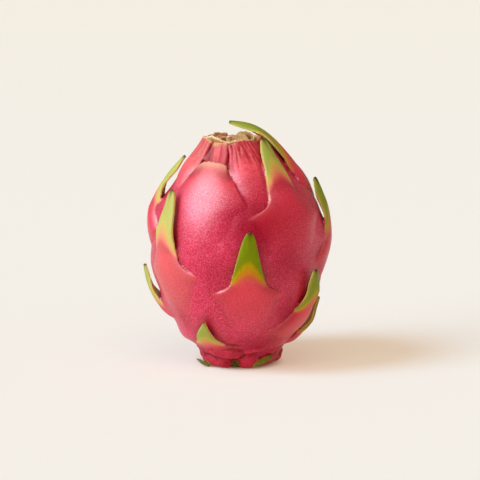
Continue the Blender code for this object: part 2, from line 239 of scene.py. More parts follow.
STUMPS = ("neck", "cut")  # first words of the names of scales whose ends are gone

# ---- The grown surface ---------------------------------------------------------------------------------
VOXEL = 0.4  # grain of the mesh that fuses the body with its scales
SMOOTHING = 5
KEPT_SHARE = 0.29  # share of the fused mesh's triangles that is kept
MASKS = ("green", "dry", "husk", "margin", "inner", "coral", "bloom")
SHAPE_MASKS = ("axil", "deep", "matte", "crease", "ridge")
AXIL_REACH = 2.6  # how far the shade in a scale's axil spreads
HOLLOW_ROUNDS = 8  # how wide an area a hollow or a ridge is measured against
# A hollow this many mm deep gets the full painted crease shade.
CREASE_DEPTH = 0.24
# A ridge this many mm high gets the full painted highlight.
RIDGE_HEIGHT = 0.5
# Painted shade in the crease beside the left stump: azimuth, height, half its width in degrees, half its
# height.
NECK_CREASE_SHADE = (-41.0, 101.5, 5.0, 5.5)
# Deep crimson zones, partly the peel's own deeper tone and partly painted shade: azimuth, height, half their
# width in degrees, half their height, strength.
DEEP_TONE_AND_SHADE_SPOTS = (
    (12.0, 72.0, 22.0, 16.0, 1.0), (32.0, 57.0, 15.0, 14.0, 0.6), (-14.0, 52.0, 16.0, 12.0, 0.45),
    (72.0, 45.0, 14.0, 16.0, 0.5), (120.0, 74.0, 18.0, 14.0, 0.8), (-172.0, 58.0, 16.0, 14.0, 0.8),
    (38.0, 30.0, 10.0, 8.0, 0.75), (-52.0, 27.0, 9.0, 8.0, 0.5), (-112.0, 50.0, 18.0, 16.0, 0.7),
    (-138.0, 82.0, 18.0, 12.0, 0.7), (160.0, 40.0, 16.0, 12.0, 0.6), (22.0, 12.5, 34.0, 6.5, 0.7),
)


# ---- Small helpers --------------------------------------------------------------------------------------
def eased(x):
    """0 to 1 with a smooth start and end."""
    x = np.clip(x, 0.0, 1.0)
    return x * x * (3 - 2 * x)


def unit(vectors):
    return vectors / np.linalg.norm(vectors, axis=-1, keepdims=True)


def lumps(points, size, seed=0.0):
    """Smooth noise from -1 to 1 at points in mm, in lumps of that size."""
    shift = Vector((seed, 1.7 * seed, -2.3 * seed))
    flat = (np.asarray(points, float) / size).reshape(-1, 3)
    return np.array([noise.noise(Vector(p) + shift) for p in flat]).reshape(points.shape[:-1])


def stacked(x, y, z):
    """Points from their three coordinates, which may be numbers or arrays of fitting shapes."""
    return np.stack(np.broadcast_arrays(x, y, z), axis=-1)


def relief(points, rows):
    """The height of all the rows' lumps together."""
    return sum(
        rise * lumps(points * np.array([1, 1, squash]), size, seed) for rise, size, squash, seed in rows
    )


def spot(azimuth, height, middle, level, wide, tall):
    """A soft spot on the peel, 1 in its middle."""
    turn = (azimuth - middle + 180) % 360 - 180
    return np.exp(-((turn / wide) ** 2) - ((height - level) / tall) ** 2)


def smooth_line(points, steps):
    """A Catmull-Rom curve through the points, with that many steps between each pair."""
    knots = [np.array(p, float) for p in points]
    knots = [2 * knots[0] - knots[1], *knots, 2 * knots[-1] - knots[-2]]
    curve = []
    for before, start, end, after in zip(knots, knots[1:], knots[2:], knots[3:]):
        for k in range(steps):
            t = k / steps
            curve.append(
                start
                + 0.5 * t * (end - before)
                + t * t * (before - 2.5 * start + 2 * end - 0.5 * after)
                + t * t * t * (1.5 * start - 0.5 * before - 1.5 * end + 0.5 * after)
            )
    curve.append(knots[-2])
    return np.array(curve)


# ---- The peel as a surface ------------------------------------------------------------------------------
PEEL = smooth_line(PEEL_LINE, steps=24)
ARC = np.concatenate([[0.0], np.cumsum(np.linalg.norm(np.diff(PEEL, axis=0), axis=1))])


def lean(height):
    """Where the axis lies at a height: a little to the left round the middle, and at the neck."""
    rise = np.clip((np.minimum(height, NECK_TOP) - LEAN_FROM) / (NECK_TOP - LEAN_FROM), 0, None)
    return -NECK_LEAN * rise**1.4 - WAIST_LEAN * np.exp(-(((height - WAIST) / HALF_WAIST) ** 2))


def groove(azimuth, height):
    """0 on a lobe and 1 in a crease of the foot."""
    fade = np.clip(1.0 - height / GROOVE_TOP, 0, 1) ** 0.7
    turns = np.stack([np.abs((azimuth - g + 180) % 360 - 180) for g in FOOT_GROOVES])
    return fade * np.exp(-((turns.min(axis=0) / GROOVE_WIDTH) ** 2))


def round_axis(azimuth, radius, height):
    """Points at that azimuth and radius from the leaning axis."""
    turn = np.radians(azimuth)
    x = lean(height) + radius * np.sin(turn)
    return stacked(x, -radius * np.cos(turn), height)


def on_peel(azimuth, height):
    radius = np.interp(height, PEEL[:, 1], PEEL[:, 0]) * (1 - GROOVE_DEPTH * groove(azimuth, height))
    return round_axis(azimuth, radius, height)


def along_peel(height, distance):
    """The height that lies that far up the peel line from another."""
    return np.interp(np.interp(height, PEEL[:, 1], ARC) + distance, ARC, PEEL[:, 1])


def level_at(azimuth):
    """The level direction in which the azimuth grows."""
    turn = np.radians(azimuth)
    return stacked(np.cos(turn), np.sin(turn), 0.0)


def up_at(azimuth, height, step=0.4):
    return unit(on_peel(azimuth, height + step) - on_peel(azimuth, height - step))


# ---- Meshes from grids ----------------------------------------------------------------------------------
class Patch:
    """Points with their masks, and the quads between them. Several patches add up to one mesh."""

    def __init__(self, mask_names):
        self.points, self.faces, self.masks = [], [], {name: [] for name in mask_names}
        self.count = 0

    def add_tube(self, rings, masks):
        """A closed tube through rings (steps, points, 3) with a flat cap at both ends."""
        steps, around, _ = rings.shape
        index = self.count + np.arange(steps * around).reshape(steps, around)
        after = np.roll(index, -1, axis=1)
        quads = np.stack([index[:-1], after[:-1], after[1:], index[1:]], axis=-1).reshape(-1, 4)
        self.faces += quads.tolist()
        self.faces.append(index[0, ::-1].tolist())
        self.faces.append(index[-1].tolist())
        self.points.append(rings.reshape(-1, 3))
        for name, parts in self.masks.items():
            parts.append(np.broadcast_to(masks.get(name, 0.0), (steps, around)).reshape(-1))
        self.count += steps * around

    def mesh(self, name):
        mesh = bpy.data.meshes.new(name)
        mesh.from_pydata((np.concatenate(self.points) * UNIT).tolist(), [], self.faces)
        mesh.validate()
        return mesh


def new_object(name, mesh):
    piece = bpy.data.objects.new(name, mesh)
    bpy.context.scene.collection.objects.link(piece)
    return piece


def settled(piece):
    """Replaces a piece's mesh by what its modifiers make of it."""
    view = bpy.context.evaluated_depsgraph_get()
    mesh = bpy.data.meshes.new_from_object(piece.evaluated_get(view))
    piece.modifiers.clear()
    piece.data = mesh
    return mesh


def coordinates(mesh):
    points = np.empty(len(mesh.vertices) * 3, np.float32)
    mesh.vertices.foreach_get("co", points)
    return points.reshape(-1, 3).astype(float)


# ---- The body's patch -----------------------------------------------------------------------------------
def body_relief(points, azimuth, height):
    """Outward swell of the bare peel: soft lumps, folds at the foot and wrinkles at the neck."""
    foot = eased((11.0 - height) / 7.0) * eased(height / 1.5)
    neck = eased((height - 88.0) / 12.0)
    turn = np.radians(azimuth)
    ribs = stacked(NECK_RIBS * np.sin(turn), NECK_RIBS * np.cos(turn), 0.06 * height)
    swell = relief(points, PEEL_LUMPS) + foot * relief(points, FOOT_LUMPS)
    swell += neck * RIB_RISE * lumps(ribs, 1.0, 21.0)
    for *place, rise in SWELLS:
        swell += rise * spot(azimuth, height, *place)
    return swell


def lifted(points, azimuth, height):
    """The foot's underside, raised in its grooves."""
    points = points.copy()
    points[..., 2] += GROOVE_RISE * eased((6.0 - height) / 6.0) * groove(azimuth, height)
    return points


def turned_rings(line, azimuth, steps=8):
    """Azimuths, radii and heights of rings round the axis, through a line of radii and heights."""
    radius, height = smooth_line(line, steps).T[:, :, None]
    return np.broadcast_arrays(azimuth, radius, height)


def add_body(patch):
    """The bare peel from the hollow round the stem, over the foot and the neck, into the open flower end."""
    lengths = np.linspace(ARC[0], ARC[-1], BODY_STEPS)
    height = np.interp(lengths, ARC, PEEL[:, 1])[:, None]
    turn = (np.arange(BODY_SIDES) * 360.0 / BODY_SIDES)[None, :]
    azimuth, height = np.broadcast_arrays(turn, height)
    points = on_peel(azimuth, height)
    out = unit(np.cross(level_at(azimuth), up_at(azimuth, height)))
    points = lifted(points + out * body_relief(points, azimuth, height)[..., None], azimuth, height)
    around, radius, level = turned_rings(UNDER_LINE, turn)
    narrowed = radius * (1 - GROOVE_DEPTH * groove(around, level) * eased(radius / 9.0))
    under = lifted(round_axis(around, narrowed, level), around, level)
    around, radius, level = turned_rings(HOLLOW_LINE, turn)
    hollow = round_axis(around, radius, level)
    hollow[..., 2] += 0.5 * lumps(hollow, 2.2, 31.0)
    bare = np.exp(-(((azimuth + 28.0) / 20.0) ** 4)) * eased((height - 96.0) / 4.0)  # red between two stumps
    no_under, no_hollow = np.zeros(under.shape[:2]), np.zeros(hollow.shape[:2])
    coral = np.concatenate([no_under, 1.2 * bare, no_hollow])
    husk = np.concatenate([no_under, eased((height - 106.6) / 1.2), 1 + no_hollow])
    patch.add_tube(np.concatenate([under, points, hollow]), {"husk": husk, "coral": coral})


def add_fold(patch, fold):
    """A full, lumpy sausage of peel, bent round the foot."""
    t = np.sin(np.linspace(-0.5, 0.5, 26) * math.pi)[:, None]
    size = np.maximum(1 - np.abs(t) ** FOLD_POWER, 0.001) ** (1 / FOLD_POWER)
    turn = np.linspace(0, 2 * math.pi, 36, endpoint=False)[None, :]
    full = (np.abs(np.cos(turn)) ** FOLD_POWER + np.abs(np.sin(turn)) ** FOLD_POWER) ** (-1 / FOLD_POWER)
    long, deep, tall = fold.halves
    level = level_at(fold.azimuth)
    out = np.array([level[1], -level[0], 0.0])
    slope = math.radians(fold.slope)
    along = level * math.cos(slope) - np.array([0, 0, 1.0]) * math.sin(slope)
    up = np.cross(along, out)
    middle = round_axis(fold.azimuth, fold.radius, fold.height)
    outwards = size * full * np.cos(turn) * deep - 0.5 * (t * long) ** 2 / fold.radius
    points = middle + along * (t * long)[..., None] + out * outwards[..., None]
    points = points + up * (size * full * np.sin(turn) * tall)[..., None]
    points += unit(points - middle) * relief(points, FOLD_LUMPS)[..., None]
    points[..., 2] = np.maximum(points[..., 2], 0.0)
    patch.add_tube(points, {"coral": 0.25})


def add_leaflet(patch, leaflet):
    root, tip, facing = (np.array(v, float) for v in (leaflet.root, leaflet.tip, leaflet.facing))
    t = np.linspace(0, 1, 30)[:, None]
    turn = np.linspace(0, 2 * math.pi, 24, endpoint=False)[None, :]
    along = unit(tip - root)
    across = unit(np.cross(along, facing))
    out = np.cross(across, along)
    half = leaflet.half_width * np.maximum(np.sin(math.pi * np.clip(0.12 + 0.88 * t, 0, 1)), 0.06) ** 0.7
    bow = 0.6 * np.sin(math.pi * t)
    points = root + (tip - root) * t[..., None] + across * (half * np.cos(turn))[..., None]
    points = points + out * (bow + 0.55 * np.sin(turn) * (1 - 0.6 * t))[..., None]
    points[..., 2] = np.maximum(points[..., 2], 0.0)
    dry = np.maximum(leaflet.dry, 0.75 * eased((t - 0.75) / 0.3))
    patch.add_tube(points, {"green": 1.0, "dry": dry, "bloom": 0.25})


# ---- Scales ---------------------------------------------------------------------------------------------
def flap_half_width(scale, share):
    """A long leaf outline: flared at the root, slim in the middle and round to the tip."""
    rest = 1 - share
    return scale.half_width * (LEAF_SHARE * rest**scale.taper + (1 - LEAF_SHARE) * rest**FOOT_POWER)


def whole_tip(scale):
    """Where the flap ends, or would have ended before it was cut off."""
    root = on_peel(scale.azimuth, scale.height)
    return root + (np.array(scale.tip) - root) / scale.kept


def root_depth(scale, side):
    """How thick the scale is where its flap leaves the shield, thinner to the sides."""
    return ROOT_SHARE * scale.half_width * (1 - 0.6 * side * side)


def reach_of(scale):
    return float(np.linalg.norm(whole_tip(scale) - on_peel(scale.azimuth, scale.height)))


def shield_half_width(scale, depth):
    """Carries the flap's flare on into a brim, widest at its drop, then narrows towards its bottom."""
    flare = scale.half_width * (LEAF_SHARE * scale.taper + (1 - LEAF_SHARE) * FOOT_POWER) / reach_of(scale)
    rest = scale.brim - scale.half_width - flare * scale.drop
    brim = scale.half_width + flare * depth + rest * (depth / scale.drop) ** BRIM_POWER
    below = np.clip((depth - scale.drop) / (scale.shield - scale.drop), 0, 1)
    return np.where(depth > scale.drop, scale.brim * (1 - 0.5 * below**1.5), brim)


def shield_grid(scale, depth, side):
    """Outer and inner points of the sunk part, at those depths below the root."""
    height = along_peel(scale.height, -depth)
    half = shield_half_width(scale, depth)
    middle = scale.proud - (scale.proud + TUCK) * (depth / scale.shield) ** SINK_POWER
    edge = EDGE_PROUD * (1 - np.clip(depth / scale.drop, 0, 1) ** 3)
    edge = edge - TUCK * eased((depth - scale.drop) / FADE)
    radius = np.maximum(4.0, np.hypot(*np.moveaxis(on_peel(scale.azimuth, height)[..., :2], -1, 0)))
    azimuth = scale.azimuth + np.degrees(side * (half / radius)[:, None])
    tall = np.broadcast_to(height[:, None], azimuth.shape)
    out = unit(np.cross(level_at(azimuth), up_at(azimuth, tall)))
    rise = edge[:, None] + (middle - edge)[:, None] * (1 - np.abs(side) ** DOME_POWER)
    outer = on_peel(azimuth, tall) + out * rise[..., None]
    across = level_at(azimuth) * (UNDERCUT * side * half[:, None])[..., None]
    return outer, outer - out * root_depth(scale, side)[..., None] - across


def flap_spine(scale):
    """The four Bezier points of the flap's outer middle line."""
    up = up_at(scale.azimuth, scale.height)
    out = unit(np.cross(level_at(scale.azimuth), up))
    root = on_peel(scale.azimuth, scale.height) + out * scale.proud
    tip = whole_tip(scale)
    reach = np.linalg.norm(tip - root)
    lean_out = math.radians(scale.flare)
    first, last, turn_in = scale.arch
    leave = (up * math.cos(lean_out) + out * math.sin(lean_out)) * reach * first
    arrive = unit(tip - root - leave) * turn_in + unit(tip - root) * (1 - turn_in)
    return root, root + leave, tip - arrive * reach * last, tip


def bezier(points, t):
    """Points and directions at t on a cubic Bezier."""
    a, b, c, d = points
    t = t[:, None]
    s = 1 - t
    point = a * s**3 + b * 3 * s * s * t + c * 3 * s * t * t + d * t**3
    return point, unit((b - a) * s * s + (c - b) * 2 * s * t + (d - c) * t * t)


def flap_grid(scale, share, side):
    """Outer and inner points of the free part, at those shares of its length."""
    point, direction = bezier(flap_spine(scale), share)
    level = level_at(scale.azimuth)
    level = unit(level - direction * (direction @ level)[:, None])
    out = np.cross(level, direction)
    turned = np.radians(scale.twist) * eased(share)[:, None]
    level, out = level * np.cos(turned) + out * np.sin(turned), out * np.cos(turned) - level * np.sin(turned)
    half = np.maximum(flap_half_width(scale, share), TIP_HALF_WIDTH)
    root_bend = max(scale.bend, math.hypot(*on_peel(scale.azimuth, scale.height)[:2]))
    bend = (root_bend + (scale.bend - root_bend) * eased(1.3 * share))[:, None]
    free = eased(share / FREE_FROM)[:, None]
    dome = ((scale.proud - EDGE_PROUD) * (1 - eased(2.5 * share)))[:, None]
    thick = (FLAP_THICK + (TIP_THICK - FLAP_THICK) * share)[:, None]
    turn = side * half[:, None] / bend
    sag = bend * (1 - np.cos(turn)) + dome * np.abs(side) ** DOME_POWER
    across = bend * np.sin(turn)
    outer = point[:, None] + level[:, None] * across[..., None] - out[:, None] * sag[..., None]
    depth = EDGE_THICK + (thick - EDGE_THICK) * (1 - side * side)
    depth = root_depth(scale, side) * (1 - free) + depth * free
    drawn_in = UNDERCUT * (1 - free) * side * half[:, None]
    return outer, outer - out[:, None] * depth[..., None] - level[:, None] * drawn_in[..., None]


def scale_masks(scale, share, depth, side, inside):
    """Where a scale is green, dry, pale at its margins and coral at its root."""
    wide = np.abs(side)
    start = scale.green_from + scale.skew * side - SIDE_LEAD * wide**2
    green = np.clip((share - start) / (GREEN_SPAN - SIDE_HASTE * wide**2), 0, 1)
    green = green * (1 - eased((depth + 0.2) / 2.0))
    middle_line = 0.75 * eased((share - 0.8) / 0.1) * eased((0.22 - wide) / 0.2)
    dry = np.maximum(eased((share + 0.06 * (1 - wide) - DRY_FROM) / DRY_SPAN), middle_line)
    husk = np.zeros_like(green)
    if scale.name.startswith(STUMPS):
        green, dry = np.zeros_like(green), np.zeros_like(green)
        husk = eased((share - scale.kept + scale.husk) / scale.husk)
    line = np.where(side < 0, scale.lines[0], scale.lines[1])
    line = line + (FLAP_MARGIN - line) * eased((share - 0.05) / 0.15)
    brim_fade = 1 - eased((depth - 0.45 * scale.drop) / (0.6 * scale.drop))
    margin = eased((wide - MARGIN_FROM) / (1 - MARGIN_FROM)) * brim_fade * line * (1 - 0.7 * dry)
    reach = CORAL_REACH
    if scale.name.startswith("neck"):
        margin = np.zeros_like(green)
    if scale.name.startswith("cut"):
        margin = CUT_PALE * eased((share - scale.kept + CUT_PALE_SHARE) / CUT_PALE_SHARE)
        reach = CUT_CORAL_REACH
    margin = np.maximum(margin, scale.pale)
    coral = scale.coral * np.exp(-((np.maximum(depth, 0) / reach) ** 1.8)) * (1 - 0.4 * wide**2)
    # The pale bloom is partly a waxy bloom and partly painted sheen where the scales face the light.
    return {
        "green": green, "dry": dry, "husk": husk, "margin": margin, "coral": coral,
        "inner": float(inside), "bloom": scale.bloom * (1 + 0.3 * side * side),
    }


def wrinkles(scale, share, depth, side, number):
    """Inward folds that run up a withered stump, deepest near its end."""
    along = share * reach_of(scale) - depth
    across = side * (scale.half_width + np.maximum(depth, 0) * 0.35)
    folds = lumps(stacked(across / 2.0, along / 22, 7.3 * number), 1.0)
    valleys = WRINKLE_DEEP * np.exp(-((folds / WRINKLE_WIDE) ** 2))
    return (valleys + 0.7 * np.abs(folds) - 0.3) * eased((along + WRINKLE_RUN / 2) / WRINKLE_RUN)


def torn_end(scale, share, side, number):
    """How far up or down each place near a stump's torn end lies."""
    ragged = CUT_RAGGED if scale.name.startswith("cut") else NECK_RAGGED
    return ragged * lumps(stacked(side * 5, 0.0, 0.7 * number), 1.0) * np.clip(share / scale.kept, 0, 1) ** 6


def scale_grid(scale, depth, share, side):
    """Outer and inner points of the whole scale, where the flap grows smoothly out of the shield."""
    shield = shield_grid(scale, depth, side)
    flap = flap_grid(scale, share, side)
    joint = shield_grid(scale, np.zeros(1), side)
    fade = (1 - eased(share / JOINED_UP_TO))[:, None, None]
    flap = [grid + (last - grid[:1]) * fade for grid, last in zip(flap, joint)]
    return (np.concatenate(pair) for pair in zip(shield, flap))


def add_scale(patch, scale, number):
    """One scale, shield and flap, closed all round."""
    side = np.linspace(-1, 1, ACROSS)
    side = (np.sign(side) * np.abs(side) ** 0.85)[None, :]  # closer together towards the edges
    depth = np.linspace(scale.shield, 0.0, max(6, int(scale.shield / STEP)), endpoint=False)
    share = np.linspace(0.0, scale.kept, max(8, int(reach_of(scale) * scale.kept / STEP)))
    outer, inner = scale_grid(scale, depth, share, side)
    depth = np.concatenate([depth, np.zeros_like(share)])[:, None]
    share = np.concatenate([np.zeros(len(outer) - len(share)), share])[:, None]
    wave = lumps(stacked(4.0 * side, share * 5 - depth / 9, float(number)), 1.0)
    inwards = unit(inner - outer)
    shift = inwards * (0.2 * wave * eased(share * 4 + 0.3) * np.abs(side) ** 1.5)[..., None]
    outer, inner = outer + shift, inner + shift
    if scale.name.startswith("neck"):
        outer = outer + inwards * wrinkles(scale, share, depth, side, number)[..., None]
    if scale.name.startswith(STUMPS):
        rise = torn_end(scale, share, side, number)
        outer[..., 2] += rise
        inner[..., 2] += rise
    rings = np.concatenate([outer, inner[:, ::-1]], axis=1)
    faces = [scale_masks(scale, share, depth, side, inside) for inside in (False, True)]
    masks = {}
    for name in faces[0]:
        front, back = (np.broadcast_to(face[name], outer.shape[:2]) for face in faces)
        masks[name] = np.concatenate([front, back[:, ::-1]], axis=1)
    patch.add_tube(rings, masks)


# ---- Fused meshes and their masks -----------------------------------------------------------------------
def fused(name, patch, voxel, smoothing):
    """One closed piece that fuses a patch's solids, without their masks."""
    piece = new_object(name, patch.mesh(name))
    fuse = piece.modifiers.new("fuse", "REMESH")
    fuse.mode = "VOXEL"
    fuse.voxel_size = voxel * UNIT
    soften = piece.modifiers.new("soften", "SMOOTH")
    soften.factor = 0.5
    soften.iterations = smoothing
    mesh = settled(piece)
    mesh.name = name
    mesh.shade_smooth()
    return piece


def nearest(points, places, count):
    """Indices and distances of that many nearest points, for each place."""
    tree = kdtree.KDTree(len(points))
    for index, point in enumerate(points):
        tree.insert(point, index)
    tree.balance()
    hits = [tree.find_n(place, count) for place in places]
    index = np.array([[hit[1] for hit in group] for group in hits])
    return index, np.array([[hit[2] for hit in group] for group in hits])


def blurred(mesh, values, rounds):
    """Values averaged with those of the neighbouring points."""
    ends = np.empty(len(mesh.edges) * 2, np.int32)
    mesh.edges.foreach_get("vertices", ends)
    ends = ends.reshape(-1, 2)
    near = np.maximum(np.bincount(ends.ravel(), minlength=len(values)), 1)
    for _ in range(rounds):
        total = np.bincount(ends[:, 0], values[ends[:, 1]], len(values))
        total += np.bincount(ends[:, 1], values[ends[:, 0]], len(values))
        values = 0.5 * values + 0.5 * total / near
    return values


def handed_over(mesh, patch, count=4):
    """The patch's points, and its masks as a fused mesh takes them from the nearest of those points."""
    points = np.concatenate(patch.points)
    index, distance = nearest(points, coordinates(mesh) / UNIT, count)
    weight = 1.0 / (distance + 0.08) ** 2
    weight /= weight.sum(axis=1, keepdims=True)
    painted = {}
    for name, parts in patch.masks.items():
        painted[name] = blurred(mesh, (np.concatenate(parts)[index] * weight).sum(axis=1), 2)
    return points, painted


def keep_masks(mesh, masks):
    for name, values in masks.items():
        layer = mesh.attributes.new(name, "FLOAT", "POINT")
        layer.data.foreach_set("value", values.astype(np.float32))


def hollows(mesh, rounds):
    """How far each point lies below its surroundings, in mm."""
    points = coordinates(mesh) / UNIT
    normals = np.empty(len(points) * 3, np.float32)
    mesh.vertices.foreach_get("normal", normals)
    around = np.stack([blurred(mesh, points[:, k], rounds) for k in range(3)], axis=-1)
    return ((around - points) * normals.reshape(-1, 3)).sum(axis=1)


# ---- The grown peel -------------------------------------------------------------------------------------
def deep_tone_and_shade(azimuth, z):
    """Where the peel is painted a deeper crimson, partly its own deeper tone and partly painted shade:
    between some of the scales, and on the foot.
    """
    deep = 0.7 * eased((15.0 - z) / 9.0)
    for *place, strength in DEEP_TONE_AND_SHADE_SPOTS:
        deep = np.maximum(deep, strength * spot(azimuth, z, *place))
    return deep


def paint(mesh, patch):
    """The masks of the grown peel: the scales' own, and those that its finished shape gives, which paint
    shade into its axils and creases, highlight onto its ridges, and a deeper tone that is partly painted
    shade.
    """
    points, painted = handed_over(mesh, patch)
    masks = {name: np.concatenate(parts) for name, parts in patch.masks.items()}
    places = coordinates(mesh) / UNIT
    x, y, z = places.T
    azimuth = np.degrees(np.arctan2(x - lean(z), -y))
    # Painted shade on the peel next to a flap's inner side, in its axil.
    free = points[masks["inner"] * (masks["green"] + masks["coral"]) > 0.3]
    _, gap = nearest(free, places, 1)
    axil = np.exp(-((gap[:, 0] / AXIL_REACH) ** 2)) * (1 - painted["inner"])
    axil *= 1 - eased(painted["green"] * 4)
    # A flap's inner side is red where it lies close to the peel, and gets the axils' painted shade there.
    peel_points = points[(masks["inner"] < 0.5) & (masks["green"] + masks["dry"] < 0.05)]
    _, above = nearest(peel_points[::2], places, 1)
    close = (1 - eased((above[:, 0] - 0.8) / 2.4)) * eased((painted["inner"] - 0.12) / 0.25)
    for name in ("green", "margin"):
        painted[name] = painted[name] * (1 - close)
    # The small leaflets on the foot are green up to their edges.
    foot = eased((10.0 - z) / 3.0)
    painted["green"] += foot * (eased((painted["green"] - 0.45) / 0.2) - painted["green"])
    keep_masks(mesh, painted)
    sunk = hollows(mesh, HOLLOW_ROUNDS)
    # Painted shade in the hollows, and in the crease beside the left stump.
    middle, level, wide, tall = NECK_CREASE_SHADE
    neck_crease_shade = np.exp(-(((azimuth - middle) / wide) ** 2) - ((z - level) / tall) ** 4)
    keep_masks(mesh, {
        "axil": np.maximum(axil, 0.8 * close),
        "deep": deep_tone_and_shade(azimuth, z),
        "matte": eased((z - 92.0) / 7.0),
        "crease": np.maximum(eased(sunk / (CREASE_DEPTH * (1 - 0.55 * foot))), neck_crease_shade),
        "ridge": eased(-sunk / RIDGE_HEIGHT),
    })


def build_peel():
    patch = Patch(MASKS)
    add_body(patch)
    for fold in FOLDS:
        add_fold(patch, fold)
    for leaflet in LEAFLETS:
        add_leaflet(patch, leaflet)
    for number, scale in enumerate(SCALES):
        add_scale(patch, scale, number)
    peel = fused("grown_peel", patch, VOXEL, SMOOTHING)
    thin = peel.modifiers.new("thin", "DECIMATE")
    thin.ratio = KEPT_SHARE
    mesh = settled(peel)
    mesh.name = "grown_peel"
    paint(mesh, patch)
    mesh.shade_smooth()
    return peel


# ---- The dry rim and the stem ----------------------------------------------------------------------------
# Brown tissue, together with painted shadow under the torn top edge; paler tops.
RIM_MASKS = ("brown", "pale")
# Round the opening: azimuth, height of the torn top edge, lean of the top outwards, and how brown it is.
RIM_EDGE = (
    (-180, 107.4, 0.0, 0.5), (-173, 107.8, 0.1, 0.9), (-170, 110.0, 0.5, 1.0), (-142, 110.2, 0.5, 1.0),
    (-138, 109.8, 0.2, 0.4), (-120, 109.2, 0.0, 0.3), (-96, 109.0, 0.3, 0.3), (-72, 109.6, 0.8, 0.1),
    (-58, 110.0, 0.6, 0.1), (-47, 110.9, 0.0, 0.1), (-40, 110.4, -0.2, 0.1), (-28, 109.6, 0.4, 0.2),
    (-20, 109.0, 0.5, 0.2), (-13, 108.4, 0.2, 0.1), (-8, 107.9, 0.0, 0.1), (0, 108.5, 0.7, 0.1),
    (9, 109.2, 1.4, 0.1), (20, 109.1, 1.7, 0.2), (33, 109.0, 1.6, 0.2), (46, 109.0, 1.1, 0.2),
    (54, 110.0, -0.2, 0.1), (62, 110.4, -0.5, 0.1), (75, 110.0, 0.3, 0.1), (92, 109.6, 0.4, 0.2),
    (112, 108.8, 0.2, 0.3), (124, 109.2, 0.0, 0.1), (135, 110.1, -0.4, 0.0), (146, 110.7, -0.8, 0.0),
    (158, 110.7, -1.0, 0.0), (166, 110.2, -0.8, 0.1), (172, 109.0, -0.4, 0.3), (177, 107.6, 0.0, 0.5),
    (180, 107.4, 0.0, 0.5),
)
RIM_RADIUS = 12.9
RIM_FOOT = 104.6
RIM_THICK, PETAL_THICK = 0.55, 0.45
RIM_VOXEL, SCAR_VOXEL = 0.3, 0.35
RIBBON_STEPS, PETAL_STEPS = 18, 40
RIM_LUMPS = ((0.42, 1.9, 0.35, 51.0), (0.2, 0.9, 1.0, 52.0))
TORN_EDGE = ((0.35, 0.11, 1.0, 53.0), (0.2, 0.05, 1.0, 54.0))  # sizes on a ring of radius 1
# Petal bases inside the rim: first and last azimuth, radius, height of the top, its lean, how brown it is.
PETAL_BASES = (
    (128, 170, 11.2, 110.2, -1.6, 0.0), (-168, -140, 11.0, 108.3, -0.8, 0.9),
    (-60, -30, 11.2, 108.2, -0.8, 0.3), (70, 104, 11.0, 108.4, -1.0, 0.3),
    (-118, -92, 11.1, 108.0, -0.9, 0.5), (10, 40, 11.3, 107.6, -1.2, 0.4),
)
STYLE_PLACE = (-5.2, 1.6, 103.2)
STYLE_TALL = 6.2
STYLE_SWELL = ((0, 0.5, 0.8, 0.92, 1.0), (2.4, 1.5, 1.3, 1.6, 0.7))  # its radius at shares of its height
SCAR_LINE = ((0.1, 1.3), (2.2, 1.0), (3.6, 1.2), (4.8, 1.0), (5.7, 1.7), (6.0, 2.8), (5.6, 4.2), (0.1, 4.6))
SCAR_LUMPS = ((0.35, 1.4, 0.3, 61.0), (0.25, 0.6, 1.0, 62.0))
SCAR_MIDDLE = np.array([0, 0, 3.2])
SCAR_CLEAR = 0.3  # how far it stays off the ground


def ribbon(patch, azimuth, radius, top, lean_out, thick, brown):
    """A curved strip that stands on the rim's foot, closed all round, with a crumpled upper part."""
    rise = np.linspace(0, 1, RIBBON_STEPS)
    azimuth = azimuth[:, None]
    sides = []
    for face, up in ((0.5, rise), (-0.5, rise[::-1])):
        height = RIM_FOOT + (top[:, None] - RIM_FOOT) * up
        crease = relief(round_axis(azimuth, radius, height), RIM_LUMPS)
        out = radius + lean_out[:, None] * up**2 + crease * up + face * thick * (1 - 0.35 * up**3)
        sides.append(round_axis(azimuth, out, height))
    up = np.concatenate([rise, rise[::-1]])
    inside = np.repeat([0.0, 1.0], RIBBON_STEPS)
    # Painted shadow under the overhanging top edge: the outer face is brown below it. The inner face is
    # browner than the outer.
    shadow_under_edge = (1 - inside) * eased((0.9 - up) / 0.12)
    brown = np.maximum(brown[:, None] * (0.4 + 0.6 * inside), shadow_under_edge)
    patch.add_tube(np.concatenate(sides, axis=1), {"pale": up**10, "brown": brown})


def add_torn_edge(patch):
    """The papery rim itself, all the way round, whose two ends overlap at the back."""
    azimuth = np.linspace(-182, 182, 260)
    around = (azimuth + 180) % 360 - 180
    turn, top, lean_out, brown = np.array(RIM_EDGE, float).T
    ring = stacked(np.sin(np.radians(around)), np.cos(np.radians(around)), 0.0)
    height = np.interp(around, turn, top) + relief(ring, TORN_EDGE)
    lean_out, brown = np.interp(around, turn, lean_out), np.interp(around, turn, brown)
    ribbon(patch, azimuth, RIM_RADIUS, height, lean_out, RIM_THICK, brown)


def add_petal_bases(patch):
    bow = np.sin(np.linspace(0, math.pi, PETAL_STEPS)) ** 0.5
    for start, end, radius, tall, inwards, dark in PETAL_BASES:
        azimuth = np.linspace(start, end, PETAL_STEPS)
        top = RIM_FOOT + (tall - RIM_FOOT) * bow
        ribbon(patch, azimuth, radius, top, inwards * bow, PETAL_THICK, np.full(PETAL_STEPS, dark))


